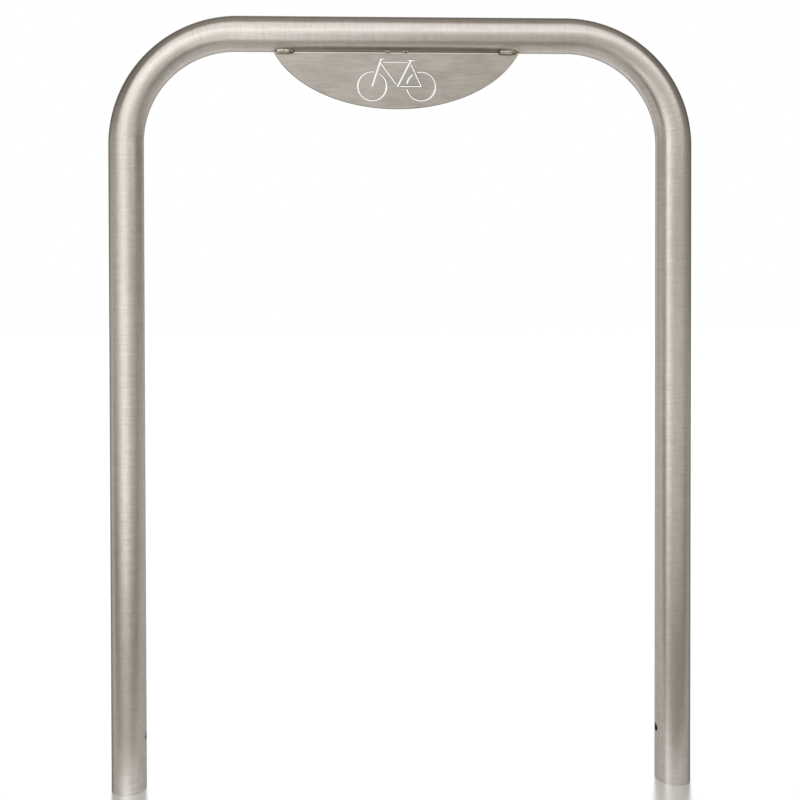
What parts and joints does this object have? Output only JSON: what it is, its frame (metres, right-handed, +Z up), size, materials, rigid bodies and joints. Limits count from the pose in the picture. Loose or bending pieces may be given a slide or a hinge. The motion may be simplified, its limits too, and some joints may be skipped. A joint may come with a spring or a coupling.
{
  "type": "hoop bike rack",
  "caption": "Bent tube hoop cast into the ground for leaning and locking bicycles, with a flat oval-edged sign plate cut through with a bicycle.",
  "frame": {"origin": "midway between the two legs, at the level of their cut ends", "axes": "+Z up along the legs, +X along the hoop towards the right leg, -Y the front that the picture shows"},
  "size_m": [0.85, 0.0524, 1.12],
  "materials": {
    "stainless_tube": "satin, brushed along the tube",
    "stainless_plate": "satin, brushed from end to end",
    "weld_metal": "rippled weld metal with a faint heat tint"
  },
  "bodies": {
    "root": {"hoop_tube": "stainless_tube", "sign_plate": "stainless_plate", "end_bead_left_front": "weld_metal", "end_bead_left_back": "weld_metal", "end_bead_right_front": "weld_metal", "end_bead_right_back": "weld_metal", "middle_tack_left_front": "weld_metal", "middle_tack_left_back": "weld_metal", "middle_tack_right_front": "weld_metal", "middle_tack_right_back": "weld_metal"}
  },
  "joints": []
}
